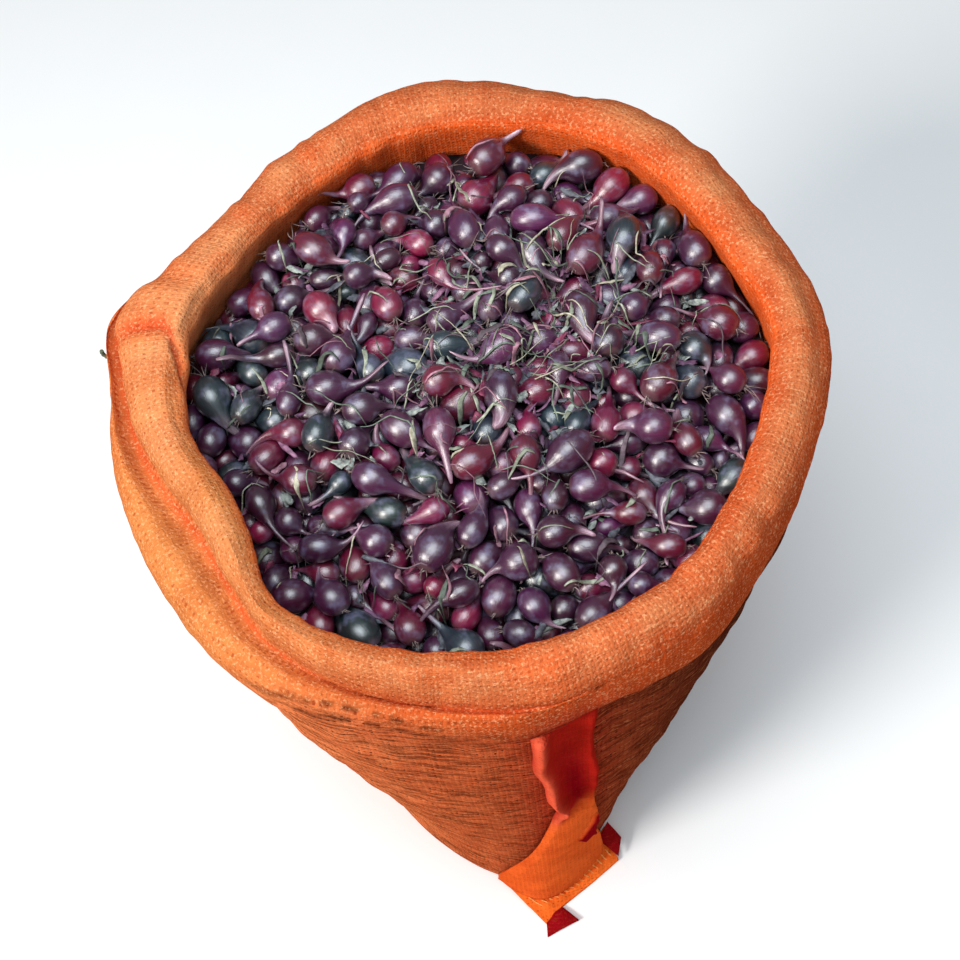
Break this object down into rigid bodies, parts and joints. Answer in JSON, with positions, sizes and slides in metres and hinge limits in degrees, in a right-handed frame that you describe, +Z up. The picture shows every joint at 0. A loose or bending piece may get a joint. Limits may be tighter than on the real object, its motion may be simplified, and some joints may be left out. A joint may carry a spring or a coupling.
{
  "type": "open net sack of pearl onions",
  "caption": "Open woven net sack standing on its base, with a rolled-down mouth, a seam fold and sewn corners, filled with small red pearl onions.",
  "frame": {"origin": "middle of the sack's flat base, on the surface that it stands on", "axes": "+Z up, -Y the front, where the seam fold and the front ear are, +X to the right seen from the front"},
  "size_m": [0.3858, 0.4027, 0.45],
  "materials": {
    "net": "matte knitted tape",
    "net_fold": "matte knitted tape, shaded layers",
    "net_hem": "matte knitted tape with a sewn hem",
    "onion_skin": "satin dry onion skin",
    "twine": "matte twine"
  },
  "bodies": {
    "root": {"sack": "net", "onion_heap": "onion_skin", "seam_fold": "net_fold", "front_ear": "net_hem", "back_ear": "net_hem", "twine_end": "twine"}
  },
  "joints": []
}
